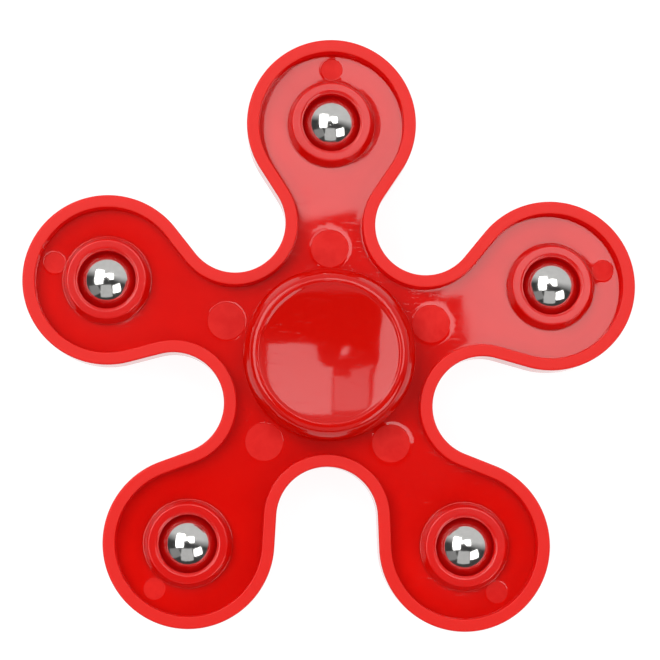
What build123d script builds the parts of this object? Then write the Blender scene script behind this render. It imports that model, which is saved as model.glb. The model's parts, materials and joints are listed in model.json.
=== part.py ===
"""Five-lobed fidget spinner: a moulded body with five press-fitted steel weight balls,
turning on a shielded deep-groove ball bearing between two snap-together finger caps.

Units are millimetres. The origin is the centre of the bearing, +Z is the spin axis towards
the front face, and one arm points along +Y.
"""
import os
from math import acos, cos, radians, sin, sqrt, tan

from build123d import *

# Body outline
ARM_COUNT = 5
LOBE_PITCH_RADIUS = 32.0      # spin axis to lobe centre
LOBE_RADIUS = 11.7
NECK_HALF_WIDTH = 6.2         # half the arm's narrowest width
FLANK_LENGTH = 4.5            # straight flank between lobe arc and notch arc
# Body section
RIM_HEIGHT = 6.0
RIM_WIDTH = 1.7
WEB_THICKNESS = 2.0
WALL_DRAFT = 2.0              # degrees
RIM_EDGE_RADIUS = 0.2
FLOOR_FILLET = 0.15
HUB_WALL = 0.6
HUB_HEIGHT = 6.6
# Weight balls and their bosses
WEIGHT_BALL_DIAMETER = 8.0
WEIGHT_PITCH_RADIUS = 32.2
WEIGHT_INTERFERENCE = 0.03    # radial press fit of a ball in its bore
BOSS_WALL = 1.5               # at the boss's top
BOSS_TAPER = 0.5              # a boss is this much wider in radius at the floor
BOSS_HEIGHT = 5.8
BOSS_EDGE_RADIUS = 0.25
BOSS_FILLET = 0.15
BORE_MOUTH_RADIUS = 0.5
# Ejector pin marks on the front floor
ROOT_MARK_RADIUS = 2.7
ROOT_MARK_GAP = 0.55          # clear of the hub wall
TIP_MARK_RADIUS = 1.5
MARK_DEPTH = 0.1
# Bearing, size 608
BEARING_BORE = 8.0
BEARING_OD = 22.0
BEARING_WIDTH = 7.0
BEARING_INTERFERENCE = 0.02   # radial press fit of the outer ring in the hub
BALL_DIAMETER = 3.969
BALL_COUNT = 7
RACE_CLEARANCE = 0.02         # radial, ball to each race
GROOVE_RATIO = 0.52           # groove radius over ball diameter
LAND_OFFSET = 1.5             # pitch circle to each ring's shoulder
RING_CHAMFER = 0.3
# Cage, two pressed halves
CAGE_HALF_WIDTH = 0.8
CAGE_SHEET = 0.3
POCKET_CLEARANCE = 0.06
# Shields, pressed into the outer ring
SHIELD_SHEET = 0.3
SHIELD_SEAT_STEP = 0.6        # seat beyond the outer ring's shoulder
SHIELD_SEAT_DEPTH = 0.8
SHIELD_LIP_HEIGHT = 0.35
SHIELD_GAP = 0.3              # to the inner ring's shoulder
SHIELD_INTERFERENCE = 0.01
# Finger caps
CAP_OVERHANG = 0.2            # cap radius beyond the hub radius
CAP_GAP = 0.5                 # flange underside to bearing face
CAP_THICKNESS = 2.6
CAP_SHOULDER_RADIUS = 1.85
CAP_UNDER_RADIUS = 0.4
CREST_WIDTH = 0.3
LIP_SLOPE_WIDTH = 0.35        # crest's inner edge to the dish
LIP_SLOPE_HEIGHT = 0.2
DISH_DEPTH = 1.13
DISH_BLEND_RADIUS = 0.5
CREST_INNER_RADIUS = 0.3
COLLAR_STEP = 0.4             # collar stops this far inside the inner ring's shoulder
STEM_CLEARANCE = 0.02         # radial, stem in the bearing bore
PIN_RADIUS = 2.5
PIN_INTERFERENCE = 0.02
PIN_CHAMFER = 0.4
STEM_SHOULDER_HEIGHT = 1.0    # rear cap's stem above its collar face
STEM_END_GAP = 0.1
SOCKET_DEPTH = 5.0
PIN_TIP_GAP = 0.3

ARM_STEP = 360 / ARM_COUNT
HALF_STEP = radians(ARM_STEP / 2)
BEARING_PITCH_RADIUS = (BEARING_BORE + BEARING_OD) / 4
BALL_RADIUS = BALL_DIAMETER / 2
HUB_RADIUS = BEARING_OD / 2 + HUB_WALL
BOSS_RADIUS = WEIGHT_BALL_DIAMETER / 2 + BOSS_WALL
WEIGHT_BORE_RADIUS = WEIGHT_BALL_DIAMETER / 2 - WEIGHT_INTERFERENCE
FLOOR_Z = WEB_THICKNESS / 2
RIM_Z = RIM_HEIGHT / 2
BOSS_Z = BOSS_HEIGHT / 2
FACE_Z = BEARING_WIDTH / 2
INNER_LAND_RADIUS = BEARING_PITCH_RADIUS - LAND_OFFSET
OUTER_LAND_RADIUS = BEARING_PITCH_RADIUS + LAND_OFFSET
SEAT_RADIUS = OUTER_LAND_RADIUS + SHIELD_SEAT_STEP
SEAT_Z = FACE_Z - SHIELD_SEAT_DEPTH


def polar(radius, angle):
    """Point at this radius and this angle in radians, measured from +X."""
    return Vector(radius * cos(angle), radius * sin(angle))


def notch_radius():
    """Radius of the notch arc that leaves the stated neck width and flank length."""
    flare = LOBE_RADIUS - NECK_HALF_WIDTH
    slope = 1 / tan(HALF_STEP)
    half_b = LOBE_PITCH_RADIUS * slope + flare
    rest = LOBE_PITCH_RADIUS**2 - flare**2 - FLANK_LENGTH**2
    offset = (half_b - sqrt(half_b**2 - slope**2 * rest)) / slope**2
    return offset - NECK_HALF_WIDTH


def lobed_outline(inset):
    """Closed outline of the body, moved inwards by inset, as a face on Z = 0."""
    lobe_r = LOBE_RADIUS - inset
    notch_r = notch_radius() + inset
    notch_pitch = (NECK_HALF_WIDTH + notch_radius()) / sin(HALF_STEP)
    arm = radians(90)
    lobe = polar(LOBE_PITCH_RADIUS, arm)
    notch = polar(notch_pitch, arm - HALF_STEP)
    across = notch - lobe
    away = acos((lobe_r + notch_r) / across.length)
    heading = -acos(across.X / across.length) + away
    lobe_end = lobe + polar(lobe_r, heading)
    notch_start = notch - polar(notch_r, heading)
    notch_low = notch - polar(notch_r, arm - HALF_STEP)
    mirror_plane = Plane(origin=(0, 0, 0), z_dir=polar(1, arm - HALF_STEP + radians(90)))
    flank = Line(lobe_end, notch_start)
    edges = []
    for k in range(ARM_COUNT):
        turn = Rot(0, 0, -k * ARM_STEP)
        far_flank = mirror(flank, about=mirror_plane)
        notch_end = notch_start - mirror_plane.z_dir * 2 * notch_start.dot(mirror_plane.z_dir)
        lobe_start = Vector(-lobe_end.X, lobe_end.Y)
        edges += [
            turn * ThreePointArc(lobe_start, lobe + polar(lobe_r, arm), lobe_end),
            turn * flank,
            turn * ThreePointArc(notch_start, notch_low, notch_end),
            turn * far_flank,
        ]
    return make_face(edges)


def ring_profile(points):
    """Face in the XZ plane through these (radius, height) points."""
    return make_face(Plane.XZ * Polyline(*points, close=True))


def circle_edges(shape, radius, height):
    """Circular edges of this radius lying at plus or minus this height."""
    return [
        e
        for e in shape.edges().filter_by(GeomType.CIRCLE)
        if abs(e.radius - radius) < 1e-4 and abs(abs(e.center().Z) - height) < 1e-4
    ]


def arm_places(radius):
    """Places at this radius on each arm, starting at +Y."""
    return [Rot(0, 0, -k * ARM_STEP) * Pos(0, radius, 0) for k in range(ARM_COUNT)]


def recess():
    """Hollow between the floor and the front edge of the rim, drafted and rounded at the floor."""
    depth = RIM_Z - FLOOR_Z
    floor_inset = RIM_WIDTH + depth * tan(radians(WALL_DRAFT))
    hollow = extrude(Pos(0, 0, FLOOR_Z) * lobed_outline(floor_inset), depth, taper=-WALL_DRAFT)
    return fillet(hollow.edges().group_by(Axis.Z)[0], FLOOR_FILLET)


def body_shell():
    """Five-lobed H-section: rim, web and recesses on both faces."""
    slab = extrude(Pos(0, 0, -RIM_Z) * lobed_outline(0), RIM_HEIGHT)
    front = recess()
    shell = slab - front - mirror(front, about=Plane.XY)
    edges = shell.edges()
    return fillet(edges.group_by(Axis.Z)[0] + edges.group_by(Axis.Z)[-1], RIM_EDGE_RADIUS)


def marks(radius, pitch):
    """Tools for the shallow round ejector pin marks in the front floor, one on each arm."""
    disc = Cylinder(radius, MARK_DEPTH, align=(Align.CENTER, Align.CENTER, Align.MAX))
    return [place * Pos(0, 0, FLOOR_Z) * disc for place in arm_places(pitch)]


def boss():
    """Tapered boss standing out of both floors, before it is bored for its ball."""
    up = (Align.CENTER, Align.CENTER, Align.MIN)
    front = Pos(0, 0, FLOOR_Z) * Cone(BOSS_RADIUS + BOSS_TAPER, BOSS_RADIUS, BOSS_Z - FLOOR_Z, align=up)
    return front + mirror(front, about=Plane.XY)


def spinner_body():
    """One moulded piece: shell, hub, weight bosses and pin marks, bored for bearing and balls."""
    body = body_shell()
    body += Cylinder(HUB_RADIUS, HUB_HEIGHT)
    for place in arm_places(WEIGHT_PITCH_RADIUS):
        body += place * boss()
        body -= place * Cylinder(WEIGHT_BORE_RADIUS, BOSS_HEIGHT)
    body -= Cylinder(BEARING_OD / 2 - BEARING_INTERFERENCE, HUB_HEIGHT)
    body = fillet(circle_edges(body, BOSS_RADIUS + BOSS_TAPER, FLOOR_Z), BOSS_FILLET)
    body = fillet(circle_edges(body, BOSS_RADIUS, BOSS_Z), BOSS_EDGE_RADIUS)
    body = fillet(circle_edges(body, WEIGHT_BORE_RADIUS, BOSS_Z), BORE_MOUTH_RADIUS)
    boss_tip = WEIGHT_PITCH_RADIUS + BOSS_RADIUS
    rim_tip = LOBE_PITCH_RADIUS + LOBE_RADIUS - RIM_WIDTH
    root_pitch = HUB_RADIUS + ROOT_MARK_GAP + ROOT_MARK_RADIUS
    for mark in marks(ROOT_MARK_RADIUS, root_pitch) + marks(TIP_MARK_RADIUS, (boss_tip + rim_tip) / 2):
        body -= mark
    return body


def groove(side):
    """Race groove as a torus: side is -1 for the inner ring and +1 for the outer ring."""
    groove_radius = GROOVE_RATIO * BALL_DIAMETER
    bottom = BEARING_PITCH_RADIUS + side * (BALL_RADIUS + RACE_CLEARANCE)
    return Torus(bottom - side * groove_radius, groove_radius)


def inner_ring():
    """Inner ring with its groove on the outside."""
    ring = Cylinder(INNER_LAND_RADIUS, BEARING_WIDTH) - Cylinder(BEARING_BORE / 2, BEARING_WIDTH)
    ring = chamfer(circle_edges(ring, BEARING_BORE / 2, FACE_Z), RING_CHAMFER)
    return ring - groove(-1)


def outer_ring():
    """Outer ring with its groove inside and a seat for a shield at each face."""
    ring = Cylinder(BEARING_OD / 2, BEARING_WIDTH) - Cylinder(OUTER_LAND_RADIUS, BEARING_WIDTH)
    for side in (1, -1):
        ring -= Pos(0, 0, side * (SEAT_Z + SHIELD_SEAT_DEPTH / 2)) * Cylinder(SEAT_RADIUS, SHIELD_SEAT_DEPTH)
    ring = chamfer(circle_edges(ring, BEARING_OD / 2, FACE_Z), RING_CHAMFER)
    return ring - groove(1)


def shield():
    """Front shield: a pressed washer with an outward lip that grips the outer ring's seat."""
    rim = SEAT_RADIUS + SHIELD_INTERFERENCE
    hole = INNER_LAND_RADIUS + SHIELD_GAP
    top = SEAT_Z + SHIELD_SHEET
    section = ring_profile([
        (hole, SEAT_Z),
        (rim, SEAT_Z),
        (rim, top + SHIELD_LIP_HEIGHT),
        (rim - SHIELD_SHEET, top + SHIELD_LIP_HEIGHT),
        (rim - SHIELD_SHEET, top),
        (hole, top),
    ])
    return revolve(section, Axis.Z)


def cage_half():
    """Front half of the cage: a flat ribbon raised into a dome over every ball."""
    pocket = BALL_RADIUS + POCKET_CLEARANCE
    inner = BEARING_PITCH_RADIUS - CAGE_HALF_WIDTH
    outer = BEARING_PITCH_RADIUS + CAGE_HALF_WIDTH
    height = pocket + CAGE_SHEET
    up = (Align.CENTER, Align.CENTER, Align.MIN)
    band = Cylinder(outer, height, align=up) - Cylinder(inner, height, align=up)
    ribbon = Cylinder(outer, CAGE_SHEET, align=up)
    seats = [Rot(0, 0, k * 360 / BALL_COUNT) * Pos(0, BEARING_PITCH_RADIUS, 0) for k in range(BALL_COUNT)]
    for seat in seats:
        ribbon += seat * Sphere(height)
    for seat in seats:
        ribbon -= seat * Sphere(pocket)
    return ribbon & band


def cap_flange():
    """Front cap's round finger pad: rounded shoulder, narrow flat crest and a shallow dish."""
    cap_radius = HUB_RADIUS + CAP_OVERHANG
    under = FACE_Z + CAP_GAP
    crest = under + CAP_THICKNESS
    crest_out = cap_radius - CAP_SHOULDER_RADIUS
    crest_in = crest_out - CREST_WIDTH
    dish_edge = crest_in - LIP_SLOPE_WIDTH
    dish_z = crest - LIP_SLOPE_HEIGHT
    dish_radius = (dish_edge**2 + DISH_DEPTH**2) / (2 * DISH_DEPTH)
    dish_mid = dish_z + dish_radius - DISH_DEPTH
    bend = sin(radians(45))
    shoulder_z = crest - CAP_SHOULDER_RADIUS
    half_r = dish_edge / 2
    half_z = dish_mid - sqrt(dish_radius**2 - half_r**2)
    outline = [
        Line((0, under), (cap_radius - CAP_UNDER_RADIUS, under)),
        ThreePointArc(
            (cap_radius - CAP_UNDER_RADIUS, under),
            (cap_radius - CAP_UNDER_RADIUS * (1 - bend), under + CAP_UNDER_RADIUS * (1 - bend)),
            (cap_radius, under + CAP_UNDER_RADIUS),
        ),
        Line((cap_radius, under + CAP_UNDER_RADIUS), (cap_radius, shoulder_z)),
        ThreePointArc(
            (cap_radius, shoulder_z),
            (crest_out + CAP_SHOULDER_RADIUS * bend, shoulder_z + CAP_SHOULDER_RADIUS * bend),
            (crest_out, crest),
        ),
        Line((crest_out, crest), (crest_in, crest)),
        Line((crest_in, crest), (dish_edge, dish_z)),
        ThreePointArc((dish_edge, dish_z), (half_r, half_z), (0, dish_z - DISH_DEPTH)),
        Line((0, dish_z - DISH_DEPTH), (0, under)),
    ]
    pad = revolve(make_face(Plane.XZ * Curve(children=outline)), Axis.Z)
    pad = fillet(circle_edges(pad, dish_edge, dish_z), DISH_BLEND_RADIUS)
    return fillet(circle_edges(pad, crest_in, crest), CREST_INNER_RADIUS)


def cap_collar():
    """Step that bears on the inner ring's face and keeps the flange clear of the shield."""
    return Pos(0, 0, FACE_Z + CAP_GAP / 2) * Cylinder(INNER_LAND_RADIUS - COLLAR_STEP, CAP_GAP)


def front_cap():
    """Front finger cap: pad, collar and a tubular stem through the bearing."""
    low = STEM_SHOULDER_HEIGHT + STEM_END_GAP - FACE_Z
    down = (Align.CENTER, Align.CENTER, Align.MIN)
    stem = Pos(0, 0, low) * Cylinder(BEARING_BORE / 2 - STEM_CLEARANCE, FACE_Z + CAP_GAP - low, align=down)
    cap = cap_flange() + cap_collar() + stem
    cap -= Pos(0, 0, low) * Cylinder(PIN_RADIUS, SOCKET_DEPTH, align=down)
    return chamfer(circle_edges(cap, BEARING_BORE / 2 - STEM_CLEARANCE, -low), RING_CHAMFER)


def rear_cap():
    """Rear finger cap: pad, collar, short stem shoulder and the pin that grips the front cap."""
    up = (Align.CENTER, Align.CENTER, Align.MIN)
    shoulder = STEM_SHOULDER_HEIGHT - FACE_Z
    tip = shoulder + STEM_END_GAP + SOCKET_DEPTH - PIN_TIP_GAP
    radius = PIN_RADIUS + PIN_INTERFERENCE
    stem = Pos(0, 0, -FACE_Z - CAP_GAP) * Cylinder(
        BEARING_BORE / 2 - STEM_CLEARANCE, STEM_SHOULDER_HEIGHT + CAP_GAP, align=up
    )
    pin = Pos(0, 0, shoulder) * Cylinder(radius, tip - shoulder, align=up)
    pin = chamfer(circle_edges(pin, radius, tip), PIN_CHAMFER)
    return mirror(cap_flange() + cap_collar(), about=Plane.XY) + stem + pin


nodes = {
    "spinner_body": spinner_body(),
    "front_cap": front_cap(),
    "rear_cap": rear_cap(),
    "bearing_outer_ring": outer_ring(),
    "bearing_inner_ring": inner_ring(),
    "bearing_shield_front": shield(),
    "bearing_shield_rear": mirror(shield(), about=Plane.XY),
    "bearing_cage_front": cage_half(),
    "bearing_cage_rear": mirror(cage_half(), about=Plane.XY),
}
for number, place in enumerate(arm_places(WEIGHT_PITCH_RADIUS), start=1):
    nodes[f"weight_ball_{number}"] = place * Sphere(WEIGHT_BALL_DIAMETER / 2)
for number in range(1, BALL_COUNT + 1):
    seat = Rot(0, 0, (number - 1) * 360 / BALL_COUNT) * Pos(0, BEARING_PITCH_RADIUS, 0)
    nodes[f"bearing_ball_{number}"] = seat * Sphere(BALL_RADIUS)

os.makedirs("parts", exist_ok=True)
for name, shape in nodes.items():
    export_step(shape, f"parts/{name}.step")
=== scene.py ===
import json
import math

import bmesh
import bpy
import numpy as np
from mathutils import Matrix, Vector
from mathutils.geometry import delaunay_2d_cdt

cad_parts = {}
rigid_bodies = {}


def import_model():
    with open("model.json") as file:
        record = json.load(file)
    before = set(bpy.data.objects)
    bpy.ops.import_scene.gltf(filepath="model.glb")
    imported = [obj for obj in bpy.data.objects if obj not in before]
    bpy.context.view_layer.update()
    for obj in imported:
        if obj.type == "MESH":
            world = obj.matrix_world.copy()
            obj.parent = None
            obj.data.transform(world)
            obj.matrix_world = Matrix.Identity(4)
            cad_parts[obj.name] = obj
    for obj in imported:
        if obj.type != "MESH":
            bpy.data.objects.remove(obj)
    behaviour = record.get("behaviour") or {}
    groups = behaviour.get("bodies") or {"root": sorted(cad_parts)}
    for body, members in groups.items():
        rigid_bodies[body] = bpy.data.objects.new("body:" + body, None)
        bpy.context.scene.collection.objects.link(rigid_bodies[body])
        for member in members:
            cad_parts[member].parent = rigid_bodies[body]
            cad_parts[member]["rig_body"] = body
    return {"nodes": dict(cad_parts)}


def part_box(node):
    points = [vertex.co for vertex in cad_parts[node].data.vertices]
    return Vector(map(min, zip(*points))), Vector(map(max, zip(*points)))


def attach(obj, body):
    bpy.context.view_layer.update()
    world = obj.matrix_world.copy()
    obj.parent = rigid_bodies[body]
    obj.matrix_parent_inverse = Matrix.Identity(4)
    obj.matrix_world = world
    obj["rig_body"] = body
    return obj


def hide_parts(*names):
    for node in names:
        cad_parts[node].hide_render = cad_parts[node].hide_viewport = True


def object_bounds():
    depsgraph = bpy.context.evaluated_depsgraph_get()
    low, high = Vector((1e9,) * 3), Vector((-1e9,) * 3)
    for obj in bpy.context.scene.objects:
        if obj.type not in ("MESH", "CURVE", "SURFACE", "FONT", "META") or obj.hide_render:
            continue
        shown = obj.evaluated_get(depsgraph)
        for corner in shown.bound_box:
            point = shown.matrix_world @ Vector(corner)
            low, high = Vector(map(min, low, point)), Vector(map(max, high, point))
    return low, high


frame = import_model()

for stray in [o for o in bpy.data.objects if "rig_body" not in o and not o.name.startswith("body:")]:
    bpy.data.objects.remove(stray)
cad_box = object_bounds()

# ------------------------------------------------------------------ sizes, millimetres
MM = 0.001
# moulded body
ARMS = 5
LOBE_PITCH = 32.0
LOBE_R = 11.7
NECK_HALF = 6.2
FLANK = 4.5
RIM_Z = 3.0
RIM_WIDTH = 1.7
RIM_EDGE_IN = 0.15
RIM_EDGE_OUT = 0.2
SKIN = 0.012             # rim's outer wall kept this far inside the nominal outline
FLOOR_Z = 1.0
FLOOR_FILLET = 0.03
DRAFT = math.tan(math.radians(2.0))
HUB_R = 11.6
HUB_Z = 3.3
HUB_ROUND = ((0.0, 0.15), (0.03, 0.04), (0.1, 0.0))     # in from the wall, down from the top
HUB_BORE_R = 10.98
HUB_CHAMFER = 0.12
# weight balls and their bosses
BALL_R = 4.0
BALL_PITCH = 32.2
BOSS_R = 5.5
BOSS_Z = 2.9
BOSS_EDGE = 0.25
BOSS_TAPER = 0.5
BOSS_FILLET = 0.15
BOSS_FOOT = BOSS_R + BOSS_TAPER + 0.11                  # outer edge of the fillet at the foot
BORE_R = 3.97
MOUTH_R = 0.5
# unevenness of the web's faces
SWELL = ((0.004, 0.42, 0.21, 0.7), (0.003, -0.27, 0.33, 2.1))    # height, x rate, y rate, phase
BOSS_SINK = 0.080        # the floor dips beside each boss and each wall
BOSS_SINK_REACH = 1.8
WALL_SINK = 0.005
WALL_SINK_REACH = 0.40
FADE_HEIGHT = 0.6        # a dip is carried this far up the wall it meets
# pin marks: pitch and radius, then each one's raised lip, clockwise from the +Y arm: width and height
ROOT_MARK = (14.85, 2.62)
TIP_MARK = (39.85, 1.5)
ROOT_LIPS = ((0.50, 0.035), (0.50, 0.035), (0.62, 0.040), (0.16, 0.006), (0.26, 0.012))
TIP_LIPS = ((0.30, 0.015), (0.28, 0.014), (0.24, 0.012), (0.22, 0.010), (0.26, 0.013))
MARK_STEP = 0.045
MARK_EDGE = 0.05
# finger caps
CAP_R = 11.8
CAP_UNDER = 4.0
CAP_TOP = 6.6
CAP_SHOULDER = 1.85
CAP_BROW_R = 1.1         # tight bend beside the crest, then a slacker one down the side
CAP_SIDE_R = 4.0
CAP_SIDE_LEAN = 15.0     # degrees off vertical at the foot of the side
CAP_UNDER_R = 0.4
CREST_W = 0.3
CREST_EASE = 0.08
SLOPE_W = 0.35
SLOPE_H = 0.2
SLOPE_EASE = 0.14
DISH_DEPTH = 1.13
FACE_Z = 3.5             # bearing's face, where the collar stands
COLLAR_R = 5.6
STEM_R = 3.98
STEM_STEP = 1.0          # rear cap's stem above its collar
STEM_CHAMFER = 0.3
SOCKET_R = 2.5
SOCKET_DEPTH = 5.0
PIN_R = 2.52
PIN_CHAMFER = 0.4
# rows and steps of the meshes
LOBE_STEPS = 110
NOTCH_STEPS = 44
FLANK_STEPS = 10
BOSS_STEPS = 96
HUB_STEPS = 160
MARK_STEPS = 72
CAP_STEPS = 240
DISH_ROWS = 34
DISH_HOLD = 0.3          # first row of the dish, in from its eased edge
EDGE_HOLD = 0.05         # row beside a rounded edge, which keeps the flat next to it flat
WALL_ROWS = (0.4, 0.8)   # heights up the rim's inner wall
BOSS_ROWS = (0.5, 1.2)   # heights up a boss
WAIST_Z = 1.2            # row on the rim's outer wall and in the bores
UNDER_ROW = 8.5          # radius of a row under the cap
FRONT_GRID = 0.5
BACK_GRID = 0.8
GRID_X = (-44.0, 44.0)
GRID_Y = (-42.0, 45.0)
LIP_RINGS = (0.2, 0.4, 0.6, 0.8, 1.0)    # shares of a lip's width
BOSS_RINGS = (0.25, 0.55, 0.9)
BOSS_RING_STEPS = 80
WALL_RINGS = (0.15, 0.35, 0.6)
WALL_CLEAR = 0.1         # no loose point nearer than this to a wall's foot
HOLE_CLEAR = 0.03        # nor than this to a hole's edge
WALL_SLACK = 0.01        # the inner wall's faces start this far up the rim's rounded edge

CREASE = math.radians(32)
SIN_45 = math.sin(math.radians(45))
# material slots of the body; WALL takes the red plastic with the painted glow
RED, MARK, WALL = range(3)


# ------------------------------------------------------------------ outline of the body
def along(angle):
    """Unit vector in the plane at this angle from +X."""
    return np.array([math.cos(angle), math.sin(angle)])


def outline():
    """Points and outward normals round the five-lobed outline, clockwise from the +Y lobe."""
    half = math.radians(180 / ARMS)
    flare = LOBE_R - NECK_HALF
    slope = 1 / math.tan(half)
    half_b = LOBE_PITCH * slope + flare
    rest = LOBE_PITCH**2 - flare**2 - FLANK**2
    offset = (half_b - math.sqrt(half_b**2 - slope**2 * rest)) / slope**2
    notch_r = offset - NECK_HALF
    notch_pitch = offset / math.sin(half)
    lobe = np.array([0.0, LOBE_PITCH])
    middle = math.pi / 2 - half
    notch = notch_pitch * along(middle)
    across = notch - lobe
    heading = math.atan2(across[1], across[0]) + math.acos((LOBE_R + notch_r) / np.hypot(*across))
    points, normals = [], []

    def arc(centre, radius, start, stop, sign, steps):
        for t in np.linspace(start, stop, steps, endpoint=False):
            points.append(centre + radius * along(t))
            normals.append(sign * along(t))

    arc(lobe, LOBE_R, math.pi - heading, heading, 1, LOBE_STEPS)
    lobe_end = lobe + LOBE_R * along(heading)
    notch_start = notch - notch_r * along(heading)
    for t in np.linspace(0, 1, FLANK_STEPS, endpoint=False):
        points.append(lobe_end + t * (notch_start - lobe_end))
        normals.append(along(heading))
    turn_in = heading + math.pi
    turn_out = 2 * (middle + math.pi) - turn_in
    arc(notch, notch_r, turn_in, turn_out, -1, NOTCH_STEPS)
    far_start = notch + notch_r * along(turn_out)
    far_normal = -along(turn_out)
    far_way = np.array([-far_normal[1], far_normal[0]])
    if np.dot(far_way, far_start) < 0:
        far_way = -far_way
    length = np.hypot(*(notch_start - lobe_end))
    for t in np.linspace(0, 1, FLANK_STEPS, endpoint=False):
        points.append(far_start + t * length * far_way)
        normals.append(far_normal)
    one_arm = np.array(points), np.array(normals)
    every_arm = [], []
    for k in range(ARMS):
        a = -2 * math.pi * k / ARMS
        turned = np.array([[math.cos(a), -math.sin(a)], [math.sin(a), math.cos(a)]])
        for rows, whole in zip(one_arm, every_arm):
            whole.append(rows @ turned.T)
    return np.vstack(every_arm[0]), np.vstack(every_arm[1])


OUT_P, OUT_N = outline()


# ------------------------------------------------------------------ mesh helpers
def arm_place(pitch, k):
    """Centre, this far from the axis, on the arm that is k places clockwise from +Y."""
    angle = math.pi / 2 - 2 * math.pi * k / ARMS
    return pitch * math.cos(angle), pitch * math.sin(angle)


def bend(centre, radius, start, stop, steps):
    """Points (x, z) round an arc, angles in degrees."""
    return [(centre[0] + radius * math.cos(math.radians(t)), centre[1] + radius * math.sin(math.radians(t)))
            for t in np.linspace(start, stop, steps)]


def both_faces(half):
    """A profile from the front face down to mid-plane, carried on as its mirror image."""
    return half + [(reach, -z) for reach, z in reversed(half[:-1])]


def mesh_object(name, verts, faces, body, materials, face_slots=None):
    """Object riding on a body: welded, smooth, and sharp only where its faces meet at a crease."""
    mesh = bpy.data.meshes.new(name)
    mesh.from_pydata([tuple(v) for v in verts], [], faces)
    for material in materials:
        mesh.materials.append(material)
    if face_slots is not None:
        mesh.polygons.foreach_set("material_index", face_slots)
    bm = bmesh.new()
    bm.from_mesh(mesh)
    bmesh.ops.remove_doubles(bm, verts=bm.verts, dist=2e-6)
    bmesh.ops.recalc_face_normals(bm, faces=bm.faces)
    for face in bm.faces:
        face.smooth = True
    for edge in bm.edges:
        if len(edge.link_faces) == 2 and edge.calc_face_angle() > CREASE:
            edge.smooth = False
    bm.to_mesh(mesh)
    bm.free()
    ob = bpy.data.objects.new(name, mesh)
    bpy.context.scene.collection.objects.link(ob)
    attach(ob, body)
    return ob


def carry(z, dip):
    """Height z on a wall whose foot lies dip above the nominal floor, faded out up the wall."""
    if abs(z) < FLOOR_Z - 1e-6:
        return z
    return z + math.copysign(dip * max(0.0, 1 - (abs(z) - FLOOR_Z) / FADE_HEIGHT), z)


def swept_faces(steps, n):
    """Faces of a profile of n points carried round in this many steps, back to its start."""
    faces = []
    for i in range(steps):
        j = (i + 1) % steps
        for k in range(n - 1):
            faces.append((i * n + k, j * n + k, j * n + k + 1, i * n + k + 1))
    return faces


def revolve(profile, steps, centre=(0.0, 0.0), dips=None):
    """Vertices and faces of a profile of (radius, z) points turned about a vertical line."""
    verts = []
    for i in range(steps):
        a = 2 * math.pi * i / steps
        c, s = math.cos(a), math.sin(a)
        for r, z in profile:
            if dips is not None:
                z = carry(z, dips[i])
            verts.append(((centre[0] + r * c) * MM, (centre[1] + r * s) * MM, z * MM))
    return verts, swept_faces(steps, len(profile))


# ------------------------------------------------------------------ material helpers
def new_material(name):
    """Material with nodes, its node tree and its main shader."""
    material = bpy.data.materials.new(name)
    material.use_nodes = True
    return material, material.node_tree, material.node_tree.nodes["Principled BSDF"]


def add(nt, kind, **settings):
    """Node of this kind with these settings."""
    node = nt.nodes.new(kind)
    for setting, value in settings.items():
        setattr(node, setting, value)
    return node


def ramp(nt, source, stops):
    """Colour that runs through these (position, colour) stops as the source rises."""
    node = nt.nodes.new("ShaderNodeValToRGB")
    elements = node.color_ramp.elements
    while len(elements) < len(stops):
        elements.new(0.5)
    for element, (position, colour) in zip(elements, stops):
        element.position = position
        element.color = (*colour, 1)
    nt.links.new(source, node.inputs[0])
    return node.outputs[0]


def remap(nt, source, low, high, to_low, to_high):
    """The source moved from the range low to high into the range to_low to to_high, clamped."""
    node = add(nt, "ShaderNodeMapRange")
    node.inputs["From Min"].default_value = low
    node.inputs["From Max"].default_value = high
    node.inputs["To Min"].default_value = to_low
    node.inputs["To Max"].default_value = to_high
    nt.links.new(source, node.inputs["Value"])
    return node.outputs["Result"]


def math_node(nt, op, a, b=None):
    """Result of this operation on sockets or plain numbers."""
    node = add(nt, "ShaderNodeMath", operation=op)
    for i, value in enumerate((a, b)):
        if value is None:
            continue
        if isinstance(value, (int, float)):
            node.inputs[i].default_value = value
        else:
            nt.links.new(value, node.inputs[i])
    return node.outputs[0]


def blend(nt, factor, a, b):
    """Mix of two values, either of them a socket or a plain number."""
    node = add(nt, "ShaderNodeMix", data_type="FLOAT")
    nt.links.new(factor, node.inputs["Factor"])
    for key, value in (("A", a), ("B", b)):
        if isinstance(value, (int, float)):
            node.inputs[key].default_value = value
        else:
            nt.links.new(value, node.inputs[key])
    return node.outputs["Result"]


def noise(nt, coord, scale, detail=2.0, rough=0.5, distortion=0.0):
    """Noise at this scale, per metre of the coordinate."""
    node = add(nt, "ShaderNodeTexNoise")
    node.inputs["Scale"].default_value = scale
    node.inputs["Detail"].default_value = detail
    node.inputs["Roughness"].default_value = rough
    node.inputs["Distortion"].default_value = distortion
    nt.links.new(coord, node.inputs["Vector"])
    return node.outputs["Fac"]


def stretched(nt, coord, scale, turn=0.0):
    """The coordinate turned about Z and scaled, so that a texture on it runs in streaks."""
    node = add(nt, "ShaderNodeMapping")
    node.inputs["Rotation"].default_value = (0.0, 0.0, turn)
    node.inputs["Scale"].default_value = scale
    nt.links.new(coord, node.inputs["Vector"])
    return node.outputs["Vector"]


def bump(nt, shader, height, strength, distance):
    """Raise the shader's surface by this height, with distance in metres."""
    node = add(nt, "ShaderNodeBump")
    node.inputs["Strength"].default_value = strength
    node.inputs["Distance"].default_value = distance
    nt.links.new(height, node.inputs["Height"])
    nt.links.new(node.outputs[0], shader.inputs["Normal"])


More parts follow.
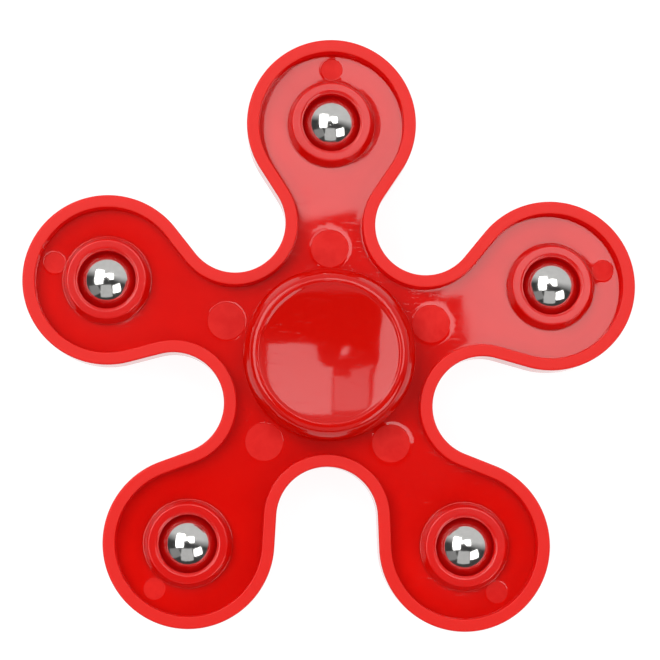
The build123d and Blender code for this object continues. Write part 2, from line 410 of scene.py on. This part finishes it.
# ------------------------------------------------------------------ materials
GLOW = 0.4               # share of the light that passes under the plastic's surface
GLOW_DEPTH = 0.0015
GLOW_COLOUR = (1.0, 0.06, 0.03)
DEEP = (0.60, 0.0022, 0.0008)
LIGHT = (0.66, 0.0036, 0.0013)
SATIN = (0.72, 0.0090, 0.0045)
CAP_DEEP = (0.57, 0.0030, 0.0008)
CAP_LIGHT = (0.63, 0.0050, 0.0012)


def red_plastic(name, colours, rough, rim_shine, scratch, wave=0.6, grain=0.01):
    """Moulded red plastic: glossy low down, duller on the boss tops and satin on the rim's top.

    colours are the deep red, the light red and the rim's; rough is that of the low parts, the boss
    tops and the rim; scratch, wave and grain are the weights of what stands out of its surface.
    """
    deep, light, satin = colours
    gloss, boss_rough, rim_rough = rough
    material, nt, shader = new_material(name)
    obj = add(nt, "ShaderNodeTexCoord").outputs["Object"]
    split = add(nt, "ShaderNodeSeparateXYZ")
    nt.links.new(obj, split.inputs[0])
    z_abs = math_node(nt, "ABSOLUTE", split.outputs["Z"])
    boss = remap(nt, z_abs, 0.00283, 0.00289, 0.0, 1.0)
    rim = remap(nt, z_abs, 0.00292, 0.00297, 0.0, 1.0)
    cloud = noise(nt, obj, 90.0, 3.0, 0.55)
    colour = add(nt, "ShaderNodeMix", data_type="RGBA")
    nt.links.new(rim, colour.inputs["Factor"])
    nt.links.new(ramp(nt, cloud, [(0.3, deep), (0.7, light)]), colour.inputs["A"])
    colour.inputs["B"].default_value = (*satin, 1)
    nt.links.new(colour.outputs["Result"], shader.inputs["Base Color"])
    fine = noise(nt, obj, 2600.0, 3.0, 0.6)
    smudge = noise(nt, obj, 160.0, 4.0, 0.6, 0.4)
    low = remap(nt, smudge, 0.3, 0.75, gloss * 0.7, gloss * 1.5)
    high = remap(nt, fine, 0.3, 0.7, rim_rough * 0.85, rim_rough * 1.15)
    nt.links.new(blend(nt, rim, blend(nt, boss, low, boss_rough), high), shader.inputs["Roughness"])
    nt.links.new(remap(nt, rim, 0.0, 1.0, 0.5, rim_shine), shader.inputs["Specular IOR Level"])
    # slow swim in the surface, mould grain, stray specks and hairline scratches
    swim = noise(nt, obj, 120.0, 1.0, 0.4)
    speck = add(nt, "ShaderNodeTexVoronoi", feature="F1")
    speck.inputs["Scale"].default_value = 480.0
    nt.links.new(obj, speck.inputs["Vector"])
    dot = remap(nt, speck.outputs["Distance"], 0.0, 0.05, 1.0, 0.0)
    line = noise(nt, stretched(nt, obj, (1.0, 14.0, 1.0), 0.6), 260.0, 2.0, 0.7, 0.3)
    hair = remap(nt, line, 0.62, 0.68, 0.0, 1.0)
    height = math_node(nt, "MULTIPLY", swim, wave)
    for source, weight in ((fine, grain), (dot, 0.35), (hair, scratch)):
        height = math_node(nt, "ADD", height, math_node(nt, "MULTIPLY", source, weight))
    bump(nt, shader, height, 0.35, 0.00006)
    shader.inputs["IOR"].default_value = 1.5
    shader.inputs["Subsurface Weight"].default_value = GLOW
    shader.inputs["Subsurface Radius"].default_value = GLOW_COLOUR
    shader.inputs["Subsurface Scale"].default_value = GLOW_DEPTH
    return material


def red_plastic_painted_glow():
    """Red plastic of the bores and the rim's inner wall, with a faint red painted glow (emission) standing
    in for light passing through the plastic around them.
    """
    material = red_plastic("bore_red_painted_glow", (DEEP, LIGHT, SATIN), (0.12, 0.2, 0.38), 0.28, 0.04)
    shader = material.node_tree.nodes["Principled BSDF"]
    # painted glow: a faint red emission standing in for light let through the thin plastic
    shader.inputs["Emission Color"].default_value = (1.0, 0.004, 0.008, 1)
    shader.inputs["Emission Strength"].default_value = 0.12
    return material


def matte_mark(name, low, high, smooth, rough):
    """Dull patchy face left by an ejector pin."""
    material, nt, shader = new_material(name)
    obj = add(nt, "ShaderNodeTexCoord").outputs["Object"]
    patch = noise(nt, obj, 420.0, 3.0, 0.6, 0.5)
    nt.links.new(ramp(nt, patch, [(0.35, low), (0.65, high)]), shader.inputs["Base Color"])
    nt.links.new(remap(nt, patch, 0.3, 0.7, rough, smooth), shader.inputs["Roughness"])
    shader.inputs["Specular IOR Level"].default_value = 0.15
    bump(nt, shader, noise(nt, obj, 1800.0, 2.0, 0.6), 0.3, 0.00002)
    return material


def steel(name, base, smooth, rough, grain, stretch, wobble=0.0):
    """Polished or ground steel with fine grain along one direction and a slow wobble."""
    material, nt, shader = new_material(name)
    obj = add(nt, "ShaderNodeTexCoord").outputs["Object"]
    fine = noise(nt, stretched(nt, obj, stretch), grain, 4.0, 0.6)
    dull = tuple(0.93 * c for c in base)
    nt.links.new(ramp(nt, fine, [(0.35, dull), (0.65, base)]), shader.inputs["Base Color"])
    nt.links.new(remap(nt, fine, 0.3, 0.7, smooth, rough), shader.inputs["Roughness"])
    shader.inputs["Metallic"].default_value = 1.0
    slow = math_node(nt, "MULTIPLY", noise(nt, obj, 260.0, 1.0, 0.5), wobble)
    bump(nt, shader, math_node(nt, "ADD", fine, slow), 0.15, 0.00001)
    return material


body_mat = red_plastic("moulded_red", (DEEP, LIGHT, SATIN), (0.03, 0.2, 0.38), 0.28, 0.04)
cap_mat = red_plastic("cap_red", (CAP_DEEP, CAP_LIGHT, CAP_DEEP), (0.06, 0.06, 0.06), 0.42, 0.14, 6.5, 0.09)
bore_glow_mat = red_plastic_painted_glow()
mark_mat = matte_mark("pin_mark_red", (0.62, 0.005, 0.003), (0.68, 0.012, 0.008), 0.32, 0.5)
ball_mat = steel("polished_ball", (0.80, 0.79, 0.77), 0.08, 0.15, 1400.0, (1, 1, 1), 40.0)
ring_mat = steel("ground_ring", (0.60, 0.60, 0.59), 0.16, 0.30, 3000.0, (1, 1, 8))
shield_mat = steel("pressed_shield", (0.52, 0.52, 0.51), 0.22, 0.38, 2200.0, (1, 1, 1))
cage_mat = steel("pressed_cage", (0.48, 0.48, 0.47), 0.25, 0.42, 2500.0, (1, 1, 1))


# ------------------------------------------------------------------ the moulded body
FLOOR_INSET = RIM_WIDTH + DRAFT * (RIM_Z - FLOOR_Z) + FLOOR_FILLET
FOOT = OUT_P - FLOOR_INSET * OUT_N
BOSSES = [arm_place(BALL_PITCH, k) for k in range(ARMS)]
MARKS = []               # centre x and y, radius, width and height of the lip
for k in range(ARMS):
    for (pitch, radius), lips in ((ROOT_MARK, ROOT_LIPS), (TIP_MARK, TIP_LIPS)):
        MARKS.append((*arm_place(pitch, k), radius, *lips[k]))


def circle(centre, radius, steps):
    """Points round a circle."""
    t = 2 * math.pi * np.arange(steps) / steps
    return np.column_stack((centre[0] + radius * np.cos(t), centre[1] + radius * np.sin(t)))


def away(pts, centre):
    """Distance of each point from this centre."""
    return np.hypot(pts[:, 0] - centre[0], pts[:, 1] - centre[1])


def from_foot(pts, batch=500):
    """Distance of each point from the foot of the rim's inner wall, worked out in batches."""
    gap = np.empty(len(pts))
    for i in range(0, len(pts), batch):
        gap[i:i + batch] = np.sqrt(((pts[i:i + batch, None, :] - FOOT[None]) ** 2).sum(2).min(1))
    return gap


def inside_foot(pts):
    """True for the points inside the foot of the rim's inner wall, by even-odd crossing."""
    inside = np.zeros(len(pts), bool)
    ax, ay = FOOT[:, 0], FOOT[:, 1]
    bx, by = np.roll(ax, -1), np.roll(ay, -1)
    for i in range(len(FOOT)):
        cross = (ay[i] > pts[:, 1]) != (by[i] > pts[:, 1])
        if cross.any():
            xs = ax[i] + (pts[:, 1] - ay[i]) * (bx[i] - ax[i]) / (by[i] - ay[i])
            inside ^= cross & (pts[:, 0] < xs)
    return inside


def web_height(pts):
    """Height of the web's face at each point: nearly flat, dipping beside the bosses and walls."""
    z = np.full(len(pts), FLOOR_Z)
    for height, x_rate, y_rate, phase in SWELL:
        z += height * np.sin(x_rate * pts[:, 0] + y_rate * pts[:, 1] + phase)
    for boss in BOSSES:
        z -= BOSS_SINK * np.exp(-np.maximum(away(pts, boss) - BOSS_FOOT, 0) / BOSS_SINK_REACH)
    return z - WALL_SINK * np.exp(-from_foot(pts) / WALL_SINK_REACH)


def lip_height(pts):
    """Height of the lips raised round the pin marks."""
    z = np.zeros(len(pts))
    for mx, my, r, width, height in MARKS:
        gap = away(pts, (mx, my)) - r
        z += height * np.clip(1 - np.maximum(gap, 0) / width, 0, 1) ** 2
    return z


def rim_profile():
    """(inset, z) from the front floor up over the rim and down the outer wall to mid-plane."""
    wall_low = FLOOR_INSET - FLOOR_FILLET
    centre = RIM_WIDTH - RIM_EDGE_IN
    pts = [(FLOOR_INSET, FLOOR_Z), (wall_low, FLOOR_Z + FLOOR_FILLET)]
    pts += [(wall_low - DRAFT * h, FLOOR_Z + h) for h in WALL_ROWS]
    pts += [(RIM_WIDTH, RIM_Z - RIM_EDGE_IN - EDGE_HOLD)]
    pts += bend((centre, RIM_Z - RIM_EDGE_IN), RIM_EDGE_IN, 0, 90, 6)
    pts += [(centre - EDGE_HOLD, RIM_Z), (RIM_WIDTH / 2, RIM_Z), (RIM_EDGE_OUT + SKIN + EDGE_HOLD, RIM_Z)]
    pts += bend((RIM_EDGE_OUT + SKIN, RIM_Z - RIM_EDGE_OUT), RIM_EDGE_OUT, 90, 180, 6)
    pts += [(SKIN, RIM_Z - RIM_EDGE_OUT - EDGE_HOLD), (SKIN, WAIST_Z), (SKIN, 0.0)]
    return pts


def rim_mesh():
    """Vertices, faces and material slots of the rim, from one floor round its outside to the other."""
    profile = both_faces(rim_profile())
    verts = []
    for p, u, dip in zip(OUT_P, OUT_N, web_height(FOOT) - FLOOR_Z):
        for inset, z in profile:
            q = p - inset * u
            verts.append((q[0] * MM, q[1] * MM, carry(z, dip if inset > RIM_WIDTH else 0.0) * MM))
    inner = RIM_WIDTH - WALL_SLACK
    # the rim's inner wall takes the WALL slot, whose plastic carries a painted glow
    slots = [WALL if min(a[0], b[0]) > inner else RED for a, b in zip(profile, profile[1:])]
    return verts, swept_faces(len(OUT_P), len(profile)), slots


def floor_points(marks, step):
    """Loose points of the web: rings round its holes, rows along its wall and a grid between them."""
    rings = [circle((mx, my), r + width * t, MARK_STEPS) for mx, my, r, width, _ in marks for t in LIP_RINGS]
    rings += [circle(boss, BOSS_FOOT + d, BOSS_RING_STEPS) for boss in BOSSES for d in BOSS_RINGS]
    rings += [FOOT - d * OUT_N for d in WALL_RINGS]
    rows = np.arange(*GRID_Y, step * math.sin(math.pi / 3))
    cols = np.arange(*GRID_X, step)
    grid = np.array([(x + (step / 2 if i % 2 else 0), y) for i, y in enumerate(rows) for x in cols])
    grid = grid[inside_foot(grid)]
    grid = grid[from_foot(grid) > WALL_RINGS[-1] + step / 2]
    for boss in BOSSES:
        grid = grid[away(grid, boss) > BOSS_FOOT + BOSS_RINGS[-1] + step / 2]
    for mx, my, r, width, _ in marks:
        grid = grid[away(grid, (mx, my)) > r + width + step / 2]
    free = np.vstack(rings + [grid])
    free = free[inside_foot(free)]
    return free[from_foot(free) > WALL_CLEAR]


def floor_mesh(front, step):
    """Triangulated web face, open at the bosses and the hub, and at the pin marks on the front."""
    marks = MARKS if front else []
    holes = [(boss, BOSS_FOOT, BOSS_STEPS) for boss in BOSSES] + [((0.0, 0.0), HUB_R, HUB_STEPS)]
    holes += [((mx, my), r, MARK_STEPS) for mx, my, r, _, _ in marks]
    pts, edges = [], []
    for loop in [FOOT] + [circle(*hole) for hole in holes]:
        base, n = len(pts), len(loop)
        pts.extend(loop)
        edges.extend((base + i, base + (i + 1) % n) for i in range(n))
    free = floor_points(marks, step)
    for centre, r, _ in holes:
        free = free[away(free, centre) > r + HOLE_CLEAR]
    pts.extend(free)
    verts, _, faces, *_ = delaunay_2d_cdt([Vector(p) for p in pts], edges, [], 0, 1e-5)
    flat = np.array([(v[0], v[1]) for v in verts])
    middles = np.array([flat[list(f)].mean(0) for f in faces])
    keep = inside_foot(middles)
    for centre, r, steps in holes:
        keep &= away(middles, centre) > r * math.cos(math.pi / steps)
    z = web_height(flat)
    if front:
        z += lip_height(flat)
    side = 1 if front else -1
    out = [(x * MM, y * MM, side * h * MM) for (x, y), h in zip(flat, z)]
    return out, [tuple(f) for f, kept in zip(faces, keep) if kept]


def mark_disc(mx, my, r):
    """Sunken face of one pin mark, from its lip's crest inwards."""
    radii = [r, r - MARK_EDGE, r - 2 * MARK_EDGE, 0.75 * r, 0.5 * r, 0.25 * r]
    crest = circle((mx, my), r, MARK_STEPS)
    top = web_height(crest) + lip_height(crest)
    level = top.mean() - MARK_STEP
    verts, faces = [], []
    for k, radius in enumerate(radii):
        for i, (x, y) in enumerate(circle((mx, my), radius, MARK_STEPS)):
            verts.append((x * MM, y * MM, (top[i] if k == 0 else level) * MM))
    for k in range(len(radii) - 1):
        for i in range(MARK_STEPS):
            j = (i + 1) % MARK_STEPS
            a, b = k * MARK_STEPS, (k + 1) * MARK_STEPS
            faces.append((a + i, a + j, b + j, b + i))
    faces.append(tuple(range((len(radii) - 1) * MARK_STEPS, len(radii) * MARK_STEPS)))
    return verts, faces


def boss_profile():
    """(radius, z) of a boss: up from the front floor, over its top, through its bore and round again."""
    height = BOSS_Z - FLOOR_Z
    lean = math.degrees(math.atan2(BOSS_TAPER, height))
    pts = [(BOSS_FOOT - BOSS_FILLET * math.sin(math.radians(t)),
            FLOOR_Z + BOSS_FILLET * (1 - math.cos(math.radians(t)))) for t in np.linspace(0, 90 - lean, 6)]
    pts += [(BOSS_R + BOSS_TAPER * (1 - h / height), FLOOR_Z + h) for h in BOSS_ROWS]
    pts += bend((BOSS_R - BOSS_EDGE, BOSS_Z - BOSS_EDGE), BOSS_EDGE, lean, 90, 6)
    pts += [(BOSS_R - BOSS_EDGE - EDGE_HOLD, BOSS_Z), (BORE_R + MOUTH_R + EDGE_HOLD, BOSS_Z)]
    pts += bend((BORE_R + MOUTH_R, BOSS_Z - MOUTH_R), MOUTH_R, 90, 180, 9)
    pts += [(BORE_R, BOSS_Z - MOUTH_R - EDGE_HOLD), (BORE_R, WAIST_Z), (BORE_R, 0.0)]
    return both_faces(pts)


def boss_slots(profile):
    """Material slots along a boss's profile: its bore, below most of its mouth, takes the thin wall's
    plastic with its painted glow.
    """
    bore_top = BOSS_Z - 0.7 * MOUTH_R
    return [WALL if max(a[0], b[0]) < BORE_R + MOUTH_R and abs(a[1] + b[1]) / 2 < bore_top else RED
            for a, b in zip(profile, profile[1:])]


def hub_profile():
    """(radius, z) of the hub: up from the front floor, over its top and through its bore."""
    pts = [(HUB_R, FLOOR_Z), (HUB_R, FLOOR_Z + EDGE_HOLD)]
    pts += [(HUB_R - inwards, HUB_Z - down) for inwards, down in HUB_ROUND]
    pts += [(HUB_BORE_R + HUB_CHAMFER, HUB_Z), (HUB_BORE_R, HUB_Z - HUB_CHAMFER), (HUB_BORE_R, 0.0)]
    return both_faces(pts)


def build_body():
    """The moulded body as one piece: rim, both web faces, pin marks, bosses and hub."""
    verts, faces, slots = [], [], []

    def join(new_verts, new_faces, face_slots=(RED,)):
        base = len(verts)
        verts.extend(new_verts)
        faces.extend(tuple(i + base for i in face) for face in new_faces)
        slots.extend(list(face_slots) * (len(new_faces) // len(face_slots)))

    join(*rim_mesh())
    join(*floor_mesh(True, FRONT_GRID))
    join(*floor_mesh(False, BACK_GRID))
    for mx, my, r, _, _ in MARKS:
        join(*mark_disc(mx, my, r), (MARK,))
    profile = boss_profile()
    for boss in BOSSES:
        dips = web_height(circle(boss, BOSS_FOOT, BOSS_STEPS)) - FLOOR_Z
        join(*revolve(profile, BOSS_STEPS, boss, dips), boss_slots(profile))
    dips = web_height(circle((0.0, 0.0), HUB_R, HUB_STEPS)) - FLOOR_Z
    join(*revolve(hub_profile(), HUB_STEPS, dips=dips))
    materials = [body_mat, mark_mat, bore_glow_mat]
    body = mesh_object("body_moulding", verts, faces, "spinner", materials, slots)
    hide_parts("spinner_body")


build_body()


# ------------------------------------------------------------------ finger caps
def eased(corner, before, after, ease, steps):
    """Points round a corner, eased over this length on each side of it."""
    corner = Vector(corner)
    a = corner + (Vector(before) - corner).normalized() * ease
    b = corner + (Vector(after) - corner).normalized() * ease
    return [tuple(a.lerp(corner, t).lerp(corner.lerp(b, t), t)) for t in np.linspace(0, 1, steps)]


def cap_profile():
    """(radius, z) of a finger pad from its underside centre, round the lip and into the dish."""
    crest_out = CAP_R - CAP_SHOULDER
    crest_in = crest_out - CREST_W
    dish_edge = crest_in - SLOPE_W
    dish_z = CAP_TOP - SLOPE_H
    dish_r = (dish_edge**2 + DISH_DEPTH**2) / (2 * DISH_DEPTH)
    mid = dish_z + dish_r - DISH_DEPTH
    near = dish_edge - SLOPE_EASE
    near_z = mid - math.sqrt(dish_r * dish_r - near * near)
    brow = bend((crest_out, CAP_TOP - CAP_BROW_R), CAP_BROW_R, 45, 90, 12)
    turn_in = (brow[0][0] - CAP_SIDE_R * SIN_45, brow[0][1] - CAP_SIDE_R * SIN_45)
    side = bend(turn_in, CAP_SIDE_R, CAP_SIDE_LEAN, 45, 14)
    edge = (side[0][0] - CAP_UNDER_R * math.cos(math.radians(CAP_SIDE_LEAN)), CAP_UNDER + CAP_UNDER_R)
    pts = [(STEM_R, FACE_Z), (COLLAR_R, FACE_Z), (COLLAR_R, CAP_UNDER)]
    pts += [(UNDER_ROW, CAP_UNDER), (edge[0] - EDGE_HOLD, CAP_UNDER)]
    pts += bend(edge, CAP_UNDER_R, -90, CAP_SIDE_LEAN, 8) + side + brow[1:]
    pts += [(crest_out - EDGE_HOLD, CAP_TOP)]
    pts += eased((crest_in, CAP_TOP), (crest_out, CAP_TOP), (dish_edge, dish_z), CREST_EASE, 5)
    pts += eased((dish_edge, dish_z), (crest_in, CAP_TOP), (near, near_z), SLOPE_EASE, 10)
    for r in np.linspace(near - DISH_HOLD, 0.0, DISH_ROWS):
        pts.append((r, mid - math.sqrt(dish_r * dish_r - r * r)))
    return pts


def stem_profile(side, low, high):
    """(radius, z) of the front cap's tubular stem, down to low, or the rear cap's pin, up to high."""
    if side > 0:
        return [(STEM_R, FACE_Z), (STEM_R, low + STEM_CHAMFER), (STEM_R - STEM_CHAMFER, low),
                (SOCKET_R, low), (SOCKET_R, low + SOCKET_DEPTH), (0.0, low + SOCKET_DEPTH)]
    shoulder = STEM_STEP - FACE_Z
    return [(STEM_R, -FACE_Z), (STEM_R, shoulder), (PIN_R, shoulder),
            (PIN_R, high - PIN_CHAMFER), (PIN_R - PIN_CHAMFER, high), (0.0, high)]


def build_cap(name, node, side):
    """One finger cap, facing front or back, with its stem."""
    lo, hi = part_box(node)
    verts, faces = revolve([(r, side * z) for r, z in cap_profile()], CAP_STEPS)
    stem_verts, stem_faces = revolve(stem_profile(side, lo[2] / MM, hi[2] / MM), CAP_STEPS)
    base = len(verts)
    verts += stem_verts
    faces += [tuple(i + base for i in f) for f in stem_faces]
    cap = mesh_object(name, verts, faces, "hub", [cap_mat])
    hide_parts(node)


build_cap("cap_front", "front_cap", 1)
build_cap("cap_rear", "rear_cap", -1)


# ------------------------------------------------------------------ steel balls
def build_ball(number):
    """One polished weight ball, where its CAD node is."""
    node = f"weight_ball_{number}"
    name = f"steel_ball_{number}"
    lo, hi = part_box(node)
    bm = bmesh.new()
    bmesh.ops.create_icosphere(bm, subdivisions=5, radius=BALL_R * MM)
    bmesh.ops.translate(bm, verts=bm.verts, vec=(Vector(lo) + Vector(hi)) / 2)
    for face in bm.faces:
        face.smooth = True
    mesh = bpy.data.meshes.new(name)
    bm.to_mesh(mesh)
    bm.free()
    ball = bpy.data.objects.new(name, mesh)
    bpy.context.scene.collection.objects.link(ball)
    mesh.materials.append(ball_mat)
    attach(ball, "spinner")
    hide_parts(node)


for number in range(1, ARMS + 1):
    build_ball(number)

# ------------------------------------------------------------------ carried-over CAD nodes
BEARING_STEELS = (("ball", ball_mat), ("shield", shield_mat), ("cage", cage_mat), ("ring", ring_mat))
for name, part in frame["nodes"].items():
    if part.hide_render:
        continue
    part.data.materials.clear()
    part.data.materials.append(next(mat for word, mat in BEARING_STEELS if word in name))

# ------------------------------------------------------------------ table
scene = bpy.context.scene
TABLE_SIZE = 6.0
TABLE_GAP = 0.00002      # below the part, in metres
bpy.ops.mesh.primitive_plane_add(size=TABLE_SIZE, location=(0, 0, cad_box[0][2] - TABLE_GAP))
table = bpy.context.object
table.name = "table"
table_mat, _, table_shader = new_material("pale_table")
table_shader.inputs["Base Color"].default_value = (0.16, 0.16, 0.16, 1)
table_shader.inputs["Roughness"].default_value = 0.9
table_shader.inputs["Specular IOR Level"].default_value = 0.1
table_shader.inputs["Emission Color"].default_value = (1, 1, 1, 1)
table_shader.inputs["Emission Strength"].default_value = 0.92
table.data.materials.append(table_mat)


# ------------------------------------------------------------------ light, in metres
def area_light(name, width, height, radiance):
    """Rectangular light of this size that looks this bright, unseen by the camera itself."""
    lamp = bpy.data.lights.new(name, "AREA")
    lamp.shape = "RECTANGLE"
    lamp.size = width
    lamp.size_y = height
    lamp.energy = math.pi * width * height * radiance
    ob = bpy.data.objects.new(name, lamp)
    scene.collection.objects.link(ob)
    ob.visible_camera = False
    return ob


def softbox(name, direction, distance, width, height, radiance, spin=0.0):
    """Softbox facing the origin from this direction and distance, turned spin degrees about its own axis."""
    ob = area_light(name, width, height, radiance)
    z = Vector(direction).normalized()
    x = Vector((0, 1, 0)).cross(z).normalized()
    y = z.cross(x).normalized()
    facing = Matrix((x, y, z)).transposed() @ Matrix.Rotation(math.radians(spin), 3, "Z")
    ob.location = z * distance
    ob.rotation_mode = "QUATERNION"
    ob.rotation_quaternion = facing.to_quaternion()


def panel(name, x0, x1, y0, y1, radiance, z=0.9):
    """Level panel overhead at height z, between these edges, shining down."""
    area_light(name, x1 - x0, y1 - y0, radiance).location = ((x0 + x1) / 2, (y0 + y1) / 2, z)


softbox("key_left", (-0.531, 0.201, 0.823), 0.80, 0.47, 0.80, 3.6)
softbox("key_right", (0.603, -0.515, 0.609), 0.80, 0.44, 0.44, 3.2, 28.0)
softbox("fill_low", (-0.05, -0.72, 0.69), 1.20, 0.95, 1.2, 0.5)
softbox("fill_left", (-0.72, -0.55, 0.42), 1.20, 0.9, 0.7, 0.22)
# overhead panel with its corner nearest the camera cut away in steps
KEY_TOP = 3.2            # radiance
KEY_BACK = 0.47          # its far edge
STEP_START = (0.040, 0.132)
STEP_SIZE = (0.01525, 0.0125)
panel("key_top", 0.101, 0.411, 0.0225, KEY_BACK, KEY_TOP)
panel("key_top_far", 0.0, STEP_START[0], 0.137, KEY_BACK, KEY_TOP)
for k in range(4):
    left = STEP_START[0] + STEP_SIZE[0] * k
    right = STEP_START[0] + STEP_SIZE[0] * (k + 1)
    panel(f"key_top_step_{k}", left, right, STEP_START[1] - STEP_SIZE[1] * k, KEY_BACK, KEY_TOP)
panel("top_dim_left", -0.225, -0.105, 0.142, 0.44, 1.8)
panel("top_dim_right", -0.105, -0.012, 0.205, 0.44, 1.8)
panel("pin_light", -0.0119, -0.0079, 0.0060, 0.0110, 6.0, 0.155)

# dim all round, brighter on the side behind the part
BRIGHT_SIDE = (0.22, 0.97, 0.0)
world = bpy.data.worlds.new("studio")
scene.world = world
world.use_nodes = True
world_nodes = world.node_tree
background = world_nodes.nodes["Background"]
background.inputs["Color"].default_value = (1, 1, 1, 1)
toward = add(world_nodes, "ShaderNodeVectorMath", operation="DOT_PRODUCT")
world_nodes.links.new(add(world_nodes, "ShaderNodeTexCoord").outputs["Generated"], toward.inputs[0])
toward.inputs[1].default_value = BRIGHT_SIDE
strength = remap(world_nodes, toward.outputs["Value"], 0.0, 0.40, 0.05, 0.65)
world_nodes.links.new(strength, background.inputs["Strength"])

# ------------------------------------------------------------------ camera
CAM_D = 330.0            # millimetres from the rim's top
CAM_TURN = (-4.6, 1.7, -0.64)
CAM_SHIFT = (-0.14, -3.35)
CAM_SENSOR = 36.0
CAM_LENS = 131.4
rx, ry, rz = (math.radians(a) for a in CAM_TURN)
turn = Matrix.Rotation(rx, 3, "X") @ Matrix.Rotation(ry, 3, "Y") @ Matrix.Rotation(rz, 3, "Z")
back = turn.transposed()
place = back @ Vector((-CAM_SHIFT[0], -CAM_SHIFT[1], CAM_D)) + Vector((0, 0, RIM_Z))
cam_data = bpy.data.cameras.new("camera")
cam_data.sensor_width = CAM_SENSOR
cam_data.lens = CAM_LENS
cam_data.clip_start = 0.01
cam_data.clip_end = 20
cam = bpy.data.objects.new("camera", cam_data)
scene.collection.objects.link(cam)
cam.matrix_world = Matrix.Translation(place * MM) @ back.to_4x4()
scene.camera = cam

scene.view_settings.view_transform = "Standard"
scene.view_settings.look = "None"
scene.cycles.max_bounces = 12
